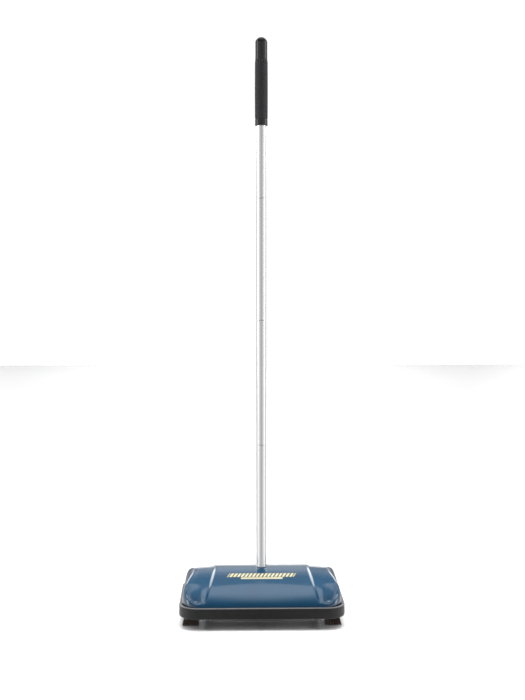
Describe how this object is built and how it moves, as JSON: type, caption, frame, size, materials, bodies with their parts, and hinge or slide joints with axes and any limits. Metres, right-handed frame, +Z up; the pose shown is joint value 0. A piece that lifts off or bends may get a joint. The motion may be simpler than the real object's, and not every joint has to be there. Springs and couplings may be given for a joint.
{
  "type": "carpet sweeper",
  "caption": "Manual carpet sweeper: low pressed-steel head with a rubber bumper, corner brushes and a friction-driven rotor, under an upright tube handle with a foam grip.",
  "frame": {"origin": "on the floor under the middle of the head", "axes": "+Z up along the upright handle, -Y towards the front of the head, X across the head"},
  "size_m": [0.311, 0.202, 1.118],
  "materials": {
    "frame_steel": "zinc plated sheet steel",
    "pin_steel": "turned steel",
    "bumper_rubber": "moulded black rubber, satin",
    "bristle": "dark red-brown bristle tufts",
    "holder_plastic": "moulded black plastic",
    "cover_paint": "gloss enamel on pressed sheet steel",
    "washer_plastic": "natural nylon",
    "pan_steel": "black painted sheet steel",
    "spring_steel": "spring steel",
    "grip_gloss": "gloss black plastic",
    "grip_foam": "black foam rubber sleeve",
    "handle_fitting": "moulded plastic",
    "handle_tube": "bright plated steel tube",
    "bearing_bronze": "sintered bronze",
    "blade_rubber": "flexible rubber",
    "rotor_metal": "extruded aluminium, satin",
    "drum_plastic": "moulded plastic",
    "hub_plastic": "moulded grey plastic",
    "wheel_tyre": "soft black rubber"
  },
  "bodies": {
    "head": {"base_plate": "frame_steel", "brush_rivets": "pin_steel", "bumper": "bumper_rubber", "corner_bristles_front_left": "bristle", "corner_bristles_front_right": "bristle", "corner_bristles_rear_left": "bristle", "corner_bristles_rear_right": "bristle", "corner_holder_front_left": "holder_plastic", "corner_holder_front_right": "holder_plastic", "corner_holder_rear_left": "holder_plastic", "corner_holder_rear_right": "holder_plastic", "cover": "cover_paint", "cover_screws": "pin_steel", "cover_tabs": "frame_steel", "friction_washers": "washer_plastic", "front_pan_rod": "pin_steel", "front_pan_spring": "spring_steel", "handle_bracket": "frame_steel", "pivot_clips": "spring_steel", "pivot_pin": "pin_steel", "plate_rivets": "pin_steel", "rear_pan_rod": "pin_steel", "rear_pan_spring": "spring_steel", "rotor_bearing_left": "bearing_bronze", "rotor_bearing_right": "bearing_bronze", "side_plate_left": "frame_steel", "side_plate_right": "frame_steel", "wheel_axles": "pin_steel", "wheel_clips": "spring_steel"},
    "rotor": {"rotor_shaft": "pin_steel", "rotor_core": "rotor_metal", "rotor_blade_1": "blade_rubber", "rotor_blade_2": "blade_rubber", "rotor_blade_3": "blade_rubber", "rotor_blade_4": "blade_rubber", "rotor_drum_left": "drum_plastic", "rotor_drum_right": "drum_plastic", "rotor_clips": "spring_steel"},
    "handle": {"grip_cap": "grip_gloss", "grip_collar": "grip_gloss", "grip_foam": "grip_foam", "handle_insert_1": "handle_fitting", "handle_insert_2": "handle_fitting", "handle_insert_3": "handle_fitting", "handle_socket": "handle_fitting", "handle_tube_1": "handle_tube", "handle_tube_2": "handle_tube", "handle_tube_3": "handle_tube", "handle_tube_4": "handle_tube"},
    "front_pan": {"front_pan": "pan_steel"},
    "rear_pan": {"rear_pan": "pan_steel"},
    "wheel_front_left": {"wheel_hub_front_left": "hub_plastic", "wheel_tyre_front_left": "wheel_tyre"},
    "wheel_front_right": {"wheel_hub_front_right": "hub_plastic", "wheel_tyre_front_right": "wheel_tyre"},
    "wheel_rear_left": {"wheel_hub_rear_left": "hub_plastic", "wheel_tyre_rear_left": "wheel_tyre"},
    "wheel_rear_right": {"wheel_hub_rear_right": "hub_plastic", "wheel_tyre_rear_right": "wheel_tyre"}
  },
  "joints": [
    {"name": "rotor_spin", "type": "hinge", "parent": "head", "child": "rotor", "pos_m": [0, 0, 0.0315], "axis": [1, 0, 0], "continuous": true},
    {"name": "handle_tilt", "type": "hinge", "parent": "head", "child": "handle", "pos_m": [0, 0, 0.075], "axis": [-1, 0, 0], "range_deg": [0, 75]},
    {"name": "front_pan_drop", "type": "hinge", "parent": "head", "child": "front_pan", "pos_m": [0, -0.08, 0.021], "axis": [-1, 0, 0], "range_deg": [0, 50], "stiffness_Nm_per_rad": 0.25, "springref_deg": -34.38},
    {"name": "rear_pan_drop", "type": "hinge", "parent": "head", "child": "rear_pan", "pos_m": [0, 0.08, 0.021], "axis": [1, 0, 0], "range_deg": [0, 50], "stiffness_Nm_per_rad": 0.25, "springref_deg": -34.38},
    {"name": "wheel_spin_front_left", "type": "hinge", "parent": "head", "child": "wheel_front_left", "pos_m": [-0.101, -0.03503, 0.022], "axis": [1, 0, 0], "continuous": true},
    {"name": "wheel_spin_front_right", "type": "hinge", "parent": "head", "child": "wheel_front_right", "pos_m": [0.101, -0.03503, 0.022], "axis": [1, 0, 0], "continuous": true},
    {"name": "wheel_spin_rear_left", "type": "hinge", "parent": "head", "child": "wheel_rear_left", "pos_m": [-0.101, 0.03503, 0.022], "axis": [1, 0, 0], "continuous": true},
    {"name": "wheel_spin_rear_right", "type": "hinge", "parent": "head", "child": "wheel_rear_right", "pos_m": [0.101, 0.03503, 0.022], "axis": [1, 0, 0], "continuous": true}
  ],
  "couplings": [
    {"joint": "wheel_spin_front_left", "follows": "rotor_spin", "ratio": -0.63636},
    {"joint": "wheel_spin_front_right", "follows": "rotor_spin", "ratio": -0.63636},
    {"joint": "wheel_spin_rear_left", "follows": "rotor_spin", "ratio": -0.63636},
    {"joint": "wheel_spin_rear_right", "follows": "rotor_spin", "ratio": -0.63636}
  ]
}
